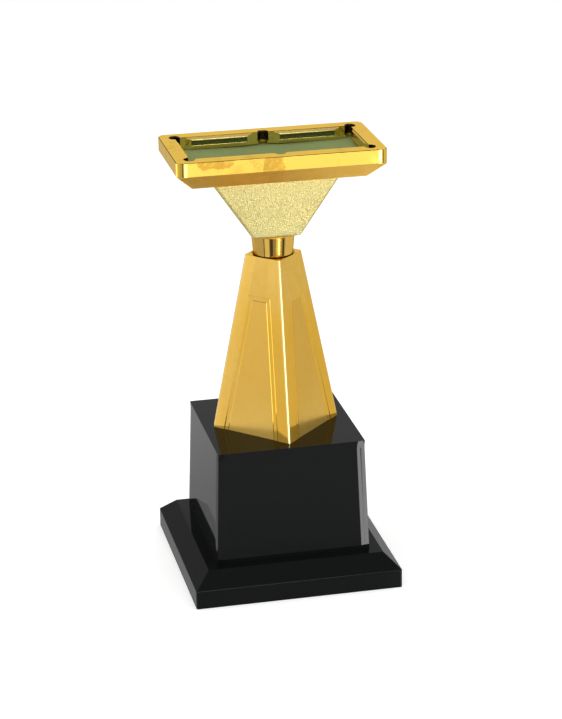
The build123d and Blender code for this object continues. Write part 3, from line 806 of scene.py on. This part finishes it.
def nap_tree(cloth):
    """Nodes that stand short leaning fibres all over the top of the cloth."""
    tree, m, start = new_tree("cloth_nap", "Density", "Fibre Length", "Fibre Radius", "Seed")
    tilt, turn, upward = 0.9, 6.28, 0.9      # radians, radians, and a share of the normal
    normal = m.node("GeometryNodeInputNormal")
    up = m.node("ShaderNodeSeparateXYZ", None, {0: normal.outputs[0]})
    facing = m.node("FunctionNodeCompare", {"operation": "GREATER_THAN"}, {0: up.outputs[2], 1: upward})
    scatter = m.node("GeometryNodeDistributePointsOnFaces", None, {
        "Mesh": start.outputs["Geometry"], "Selection": facing.outputs[0],
        "Density": start.outputs["Density"], "Seed": start.outputs["Seed"]})
    fibre = m.node("GeometryNodeMeshCone", {"fill_type": "NONE"}, {
        "Vertices": 3, "Side Segments": 1, "Radius Top": 0.0,
        "Radius Bottom": start.outputs["Fibre Radius"], "Depth": start.outputs["Fibre Length"]})
    lean = m.node("FunctionNodeRandomValue", {"data_type": "FLOAT_VECTOR"}, {
        0: (-tilt, -tilt, 0.0), 1: (tilt, tilt, turn), "Seed": start.outputs["Seed"]})
    turned = m.node("FunctionNodeEulerToRotation", None, {0: lean.outputs[0]})
    length = m.node("FunctionNodeRandomValue", {"data_type": "FLOAT"}, {2: 0.5, 3: 1.0, "Seed": 3})
    stand = m.node("GeometryNodeInstanceOnPoints", None, {
        "Points": scatter.outputs["Points"], "Instance": fibre.outputs["Mesh"],
        "Rotation": turned.outputs[0], "Scale": length.outputs[1]})
    real = m.node("GeometryNodeRealizeInstances", None, {0: stand.outputs[0]})
    both = m.node("GeometryNodeJoinGeometry")
    tree.links.new(real.outputs[0], both.inputs[0])
    tree.links.new(start.outputs["Geometry"], both.inputs[0])
    coat = m.node("GeometryNodeSetMaterial", None, {"Geometry": both.outputs[0], "Material": cloth})
    m.node("NodeGroupOutput", None, {0: coat.outputs[0]})
    return tree


def run_tree(made, tree, **values):
    """Runs a node tree on the object with its named inputs, and keeps the plain result."""
    modifier = made.modifiers.new(tree.name, "NODES")
    modifier.node_group = tree
    sockets = {item.name: item.identifier for item in tree.interface.items_tree
               if item.item_type == "SOCKET" and item.in_out == "INPUT"}
    for name, value in values.items():
        modifier[sockets[name.replace("_", " ")]] = value
    plain(made)


def make_cloth():
    """Sage cloth with a short nap, a little lower in the middle."""
    sizes = bpy.context.scene.trophy_sizes
    corner, strip, sag_reach = 0.3 * MM, 4 * MM, 30 * MM
    outline = rounded(CLOTH_HIGH.x, CLOTH_HIGH.y, corner, 3)
    bm = skin([(outline, CLOTH_LOW.z), (outline, CLOTH_HIGH.z)])
    for step in range(-11, 12):
        bmesh.ops.bisect_plane(bm, geom=[*bm.verts, *bm.edges, *bm.faces], dist=SAME_PLACE,
                               plane_co=(step * strip, 0, 0), plane_no=(1, 0, 0))
    for vert in bm.verts:
        if vert.co.z > CLOTH_LOW.z + 0.01 * MM:
            vert.co.z -= sizes.cloth_sag * max(0.0, 1 - (vert.co.x / sag_reach) ** 2)
    made = piece("cloth", bm, ["cloth_green"])
    run_tree(made, nap_tree(finish("cloth_green")), Density=sizes.nap_density,
             Fibre_Length=sizes.nap_length, Fibre_Radius=0.05 * MM, Seed=7)
    seat(made, ["bed_cloth"])


# ---------------- fasteners
def thread_tree(metal):
    """Nodes that wind a thread round a core."""
    numbers = ("Length", "Root Radius", "Depth", "Pitch", "Bottom")
    tree, m, start = new_tree("rod_thread", *numbers)
    length, root, depth, pitch, bottom = [Term(m, start.outputs[number]) for number in numbers]
    helix = m.node("GeometryNodeCurveSpiral", None, {
        "Resolution": 16, "Rotations": length / pitch, "Start Radius": root, "End Radius": root,
        "Height": length})
    profile = m.node("GeometryNodeCurvePrimitiveCircle", {"mode": "RADIUS"},
                     {"Resolution": 4, "Radius": depth})
    ridge = m.node("GeometryNodeCurveToMesh", None,
                   {0: helix.outputs[0], 1: profile.outputs[0], "Fill Caps": True})
    core = m.node("GeometryNodeMeshCylinder", None,
                  {"Vertices": 24, "Radius": root + depth * 0.25, "Depth": length})

    def raised(part, height):
        rise = m.node("ShaderNodeCombineXYZ", None, {2: height}).outputs[0]
        return m.node("GeometryNodeTransform", None, {0: part.outputs[0], "Translation": rise})

    both = m.node("GeometryNodeJoinGeometry")
    tree.links.new(ridge.outputs[0], both.inputs[0])
    tree.links.new(raised(core, length * 0.5).outputs[0], both.inputs[0])
    coat = m.node("GeometryNodeSetMaterial", None,
                  {"Geometry": raised(both, bottom).outputs[0], "Material": metal})
    m.node("NodeGroupOutput", None, {0: coat.outputs[0]})
    return tree


def make_rod():
    """Threaded tie rod."""
    depth, inset = 0.30 * MM, 0.5 * MM
    made = piece("threaded_rod", bmesh.new(), ["zinc_plate"])
    run_tree(made, thread_tree(finish("zinc_plate")), Length=ROD_HIGH.z - ROD_LOW.z - 2 * inset,
             Root_Radius=ROD_HIGH.x - depth, Depth=depth,
             Pitch=bpy.context.scene.trophy_sizes.thread_pitch, Bottom=ROD_LOW.z + inset)
    seat(made, ["tie_rod"])


def make_fixings():
    """Nuts, washer and screws with softened edges, and the plain panel."""
    for node in ("base_nut", "head_nut", "base_washer", "table_screws"):
        made = solid_copy(node, node.replace("base", "lower").replace("head", "upper") + "_finished",
                          ["zinc_plate"])
        soften(made, 0.12 * MM, 2, 35.0)
        seat(made, [node])
    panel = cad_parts["bed_panel"]
    panel.data.materials.clear()
    panel.data.materials.append(finish("panel_grey"))


# ---------------- stage
# Bearing, height and roll in degrees, distance and target in metres, lens in millimetres.
CAMERA_AZIMUTH = -12.3194
CAMERA_HEIGHT = 20.5076
CAMERA_ROLL = 0.8067
CAMERA_DISTANCE = 1.15857
CAMERA_TARGET = Vector((0.00309, 0.0, 0.10246))
CAMERA_LENS = 121.26
LAMP_AIM = Vector((0.0, 0.0, 0.12))
FLOOR_HALF = 6.0                # half the floor's side, in metres
PAPER_WHITE, PAPER_GLOW = (0.93, 0.93, 0.93, 1), 0.36


def make_camera():
    """Long lens, a little left of the front and looking down."""
    data = bpy.data.cameras.new("camera")
    data.lens = CAMERA_LENS
    data.sensor_width = 36.0
    data.clip_start = 0.05
    data.clip_end = 50.0
    camera = bpy.data.objects.new("camera", data)
    bpy.context.scene.collection.objects.link(camera)
    azimuth, height = math.radians(CAMERA_AZIMUTH), math.radians(CAMERA_HEIGHT)
    back = Vector((math.sin(azimuth) * math.cos(height), -math.cos(azimuth) * math.cos(height),
                   math.sin(height)))
    turn = back.to_track_quat("Z", "Y").to_matrix().to_4x4()
    roll = Matrix.Rotation(math.radians(-CAMERA_ROLL), 4, "Z")
    camera.matrix_world = Matrix.Translation(CAMERA_TARGET + back * CAMERA_DISTANCE) @ turn @ roll
    bpy.context.scene.camera = camera


def softbox(name, place, side, level):
    """Square lamp, aimed at the middle of the trophy, whose face has the given brightness."""
    data = bpy.data.lights.new(name, "AREA")
    data.shape = "SQUARE"
    data.size = side
    data.energy = level * math.pi * side * side
    lamp = bpy.data.objects.new(name, data)
    bpy.context.scene.collection.objects.link(lamp)
    lamp.location = place
    lamp.rotation_euler = (LAMP_AIM - Vector(place)).to_track_quat("-Z", "Y").to_euler()
    lamp.visible_camera = False
    lamp.visible_glossy = False


def floor_paper(m):
    """White paper that glows a little; glossy rays pass through it."""
    path = m.node("ShaderNodeLightPath")
    shown = principled(m, PAPER_WHITE, 0.9, **{"Specular IOR Level": 0.0, "Emission Color": (1, 1, 1, 1),
                                               "Emission Strength": PAPER_GLOW})
    clear = m.node("ShaderNodeBsdfTransparent").outputs[0]
    return m.node("ShaderNodeMixShader", None,
                  {0: path.outputs["Is Glossy Ray"], 1: shown, 2: clear}).outputs[0]


def make_floor():
    """Pale floor that keeps the shadow; gloss looks through it into the surround."""
    bm = bmesh.new()
    bmesh.ops.create_grid(bm, x_segments=1, y_segments=1, size=FLOOR_HALF)
    mesh = bpy.data.meshes.new("floor")
    bm.to_mesh(mesh)
    bm.free()
    floor = bpy.data.objects.new("floor", mesh)
    bpy.context.scene.collection.objects.link(floor)
    floor.data.materials.append(material("floor_paper", floor_paper))


SURROUND, DARKEST = 0.5, 0.05       # brightness of the surround between the boxes, and its least

# Softboxes (added light) and black flags (taken away) round the object, as gloss sees them:
# bearing from the front towards +X and height, both in degrees, softness of the edges, level.
STUDIO = {
    "front wall": ((-3.5, 27), (-16.75, -14), 0.8, 0.80),
    "front low flag": ((-11, 16), (-90, -21), 3.0, -0.18),
    "left glow": ((-62, -16), (-15, 12), 1.0, 0.40),
    "right glow": ((38, 60), (-15, 12), 1.0, 0.30),
    "edge light": ((-16, 30), (-2.5, 4.0), 1.0, 4.5),
    "collar foot flag": ((-75, 95), (6.2, 11), 1.0, -0.20),
    "rail left corner": ((-149, -106), (-16.6, -14.9), 0.6, -0.35),
    "rail left sliver": ((-26, -6), (-16.8, -14.8), 0.4, -0.38),
    "rail right sliver": ((29, 60), (-16.8, -14.8), 0.4, -0.22),
    "strip right": ((16.8, 26), (-37, -4), 0.8, 8.5),
    "strip front": ((3.5, 9), (-17.0, -14), 1.0, 4.0),
    "camera flag": ((-28, -12), (-60, -18.5), 3.0, -0.38),
    "right card": ((41, 51), (-60, -18.5), 3.0, -0.32),
    "collar pale": ((-60, -34), (-31, -26.0), 1.0, 0.30),
    "collar dark left": ((-66, -60), (-31, -24.5), 1.0, -0.40),
    "collar dark": ((-32, -13), (-31, -27.2), 0.8, -0.38),
    "collar white left": ((4, 16.8), (-31, -27.2), 0.8, 0.55),
    "collar strip flag": ((16.8, 26), (-37, -27.0), 0.8, -7.4),
    "collar white right": ((26, 29), (-31, -26.5), 1.0, 1.0),
    "collar dark right": ((43, 55), (-31, -25), 1.0, -0.38),
    "rail rim glow": ((5, 26), (10, 33), 3.0, 0.45),
    "side right": ((62, 131), (-60, 6), 6.0, 0.20),
    "side left": ((-115, -62), (-16, 8), 6.0, 0.24),
    "side left edge": ((-115, -79), (-16, 8), 2.0, 0.16),
    "side left high": ((-115, -62), (-4, 20), 5.0, 0.32),
    "side right high": ((62, 131), (6, 20), 5.0, 0.45),
    "rim left": ((-149, -109), (-21, -11.5), 2.0, 1.7),
    "front top box": ((5, 20), (34, 58), 2.0, 6.0),
    "sides high": ((70, 200), (24, 39), 4.0, -0.12),
    "sides high left": ((-200, -70), (24, 39), 4.0, -0.12),
    "side lights": ((70, 130), (40, 52), 2.0, 0.45),
    "side lights left": ((-120, -70), (40, 52), 2.0, 0.55),
    "overhead flag": ((-60, 60), (61, 82), 3.0, -0.28),
    "back right card": ((150, 200), (-18, 60), 4.0, -0.12),
    "tray glow": ((130, 200), (-60, -25), 4.0, 0.24),
    "back right window": ((150, 200), (10.5, 20.5), 1.5, 0.42),
    "back left line": ((-200, -150), (-19.4, -17.8), 0.4, -0.22),
    "back left low": ((-200, -150), (-45, -22), 3.0, -0.15),
    "back left glow": ((-200, -150), (-16.6, -4), 1.0, 0.11),
    "back left card": ((-168, -150), (7, 60), 2.0, -0.30),
    "deck left card": ((-182, -168), (21.5, 60), 1.0, -0.30),
    "glow from below": ((-400, 400), (-200, -45), 6.0, 0.35),
}


def make_world():
    """White behind the trophy; gloss sees softboxes and flags, and matt surfaces an even sky."""
    level = bpy.context.scene.trophy_stage.sky_level
    world = bpy.data.worlds.new("studio")
    bpy.context.scene.world = world
    world.use_nodes = True
    m = Maker(world.node_tree)
    path = m.node("ShaderNodeLightPath")
    x, y, z = m.axes(m.node("ShaderNodeTexCoord").outputs["Generated"])
    degree = 180.0 / math.pi
    bearing = m.term("ShaderNodeMath", {"operation": "ARCTAN2"}, {0: x, 1: 0.0 - y}) * degree
    height = m.term("ShaderNodeMath", {"operation": "ARCSINE"}, {0: z}) * degree

    seen = SURROUND
    for (left, right), (low, high), soft, strength in STUDIO.values():
        seen = seen + m.window(bearing, left, right, soft) * m.window(height, low, high, soft) * strength
    camera = Term(m, path.outputs["Is Camera Ray"])
    glossy = Term(m, path.outputs["Is Glossy Ray"])
    strength = camera + (1.0 - camera) * (glossy * seen.most(DARKEST) + (1.0 - glossy) * level)
    background = m.node("ShaderNodeBackground", None, {"Color": (1, 1, 1, 1), "Strength": strength})
    m.node("ShaderNodeOutputWorld", None, {"Surface": background.outputs[0]})


def make_lamps():
    """Two side softboxes and one overhead, for the matt surfaces and the shadow."""
    stage = bpy.context.scene.trophy_stage
    softbox("softbox_left", (-0.95, -0.45, 0.55), 0.9, stage.key_level)
    softbox("softbox_right", (0.95, -0.25, 0.45), 0.9, stage.fill_level)
    softbox("softbox_top", (0.0, 0.15, 1.15), 1.0, stage.top_level)


def set_view():
    """Plain view transform."""
    bpy.context.scene.view_settings.view_transform = "Standard"


# ---------------- operators
class TROPHY_OT_stage(bpy.types.Operator):
    """Camera, floor, surround and lamps."""
    bl_idname = "trophy.stage"
    bl_label = "Stage"

    def execute(self, context):
        set_view()
        make_camera()
        make_floor()
        make_world()
        make_lamps()
        return {"FINISHED"}


class TROPHY_OT_base(bpy.types.Operator):
    """Plinth and block."""
    bl_idname = "trophy.base"
    bl_label = "Base"

    def execute(self, context):
        make_plinth()
        make_block()
        return {"FINISHED"}


class TROPHY_OT_column(bpy.types.Operator):
    """Column and collar."""
    bl_idname = "trophy.column"
    bl_label = "Column"

    def execute(self, context):
        make_column()
        make_ferrule()
        return {"FINISHED"}


class TROPHY_OT_wedge(bpy.types.Operator):
    """Support wedge."""
    bl_idname = "trophy.wedge"
    bl_label = "Wedge"

    def execute(self, context):
        make_wedge()
        return {"FINISHED"}


class TROPHY_OT_table(bpy.types.Operator):
    """Tray, rail, liners, cushions and cloth."""
    bl_idname = "trophy.table"
    bl_label = "Table"

    def execute(self, context):
        make_tray()
        make_rail()
        make_liners()
        make_cushions()
        make_cloth()
        return {"FINISHED"}


class TROPHY_OT_fixings(bpy.types.Operator):
    """Rod, nuts, washer and screws."""
    bl_idname = "trophy.fixings"
    bl_label = "Fixings"

    def execute(self, context):
        make_rod()
        make_fixings()
        return {"FINISHED"}


OPERATORS = [TROPHY_OT_stage, TROPHY_OT_base, TROPHY_OT_column, TROPHY_OT_wedge,
             TROPHY_OT_table, TROPHY_OT_fixings]


class TROPHY_PT_panel(bpy.types.Panel):
    """Lists the steps that build the trophy."""
    bl_idname = "TROPHY_PT_panel"
    bl_label = "Column Trophy"
    bl_space_type = "VIEW_3D"
    bl_region_type = "UI"
    bl_category = "Trophy"

    def draw(self, context):
        for step in OPERATORS:
            self.layout.operator(step.bl_idname)


CLASSES = [TrophySizes, TrophyColours, StageSettings, *OPERATORS, TROPHY_PT_panel]


def register():
    for item in CLASSES:
        bpy.utils.register_class(item)
    bpy.types.Scene.trophy_sizes = PointerProperty(type=TrophySizes)
    bpy.types.Scene.trophy_colours = PointerProperty(type=TrophyColours)
    bpy.types.Scene.trophy_stage = PointerProperty(type=StageSettings)


def unregister():
    for name in ("trophy_sizes", "trophy_colours", "trophy_stage"):
        delattr(bpy.types.Scene, name)
    for item in reversed(CLASSES):
        bpy.utils.unregister_class(item)


def main():
    """Builds everything."""
    register()
    for step in OPERATORS:
        getattr(bpy.ops.trophy, step.bl_idname.split(".")[1])()


if __name__ == "__main__":
    main()
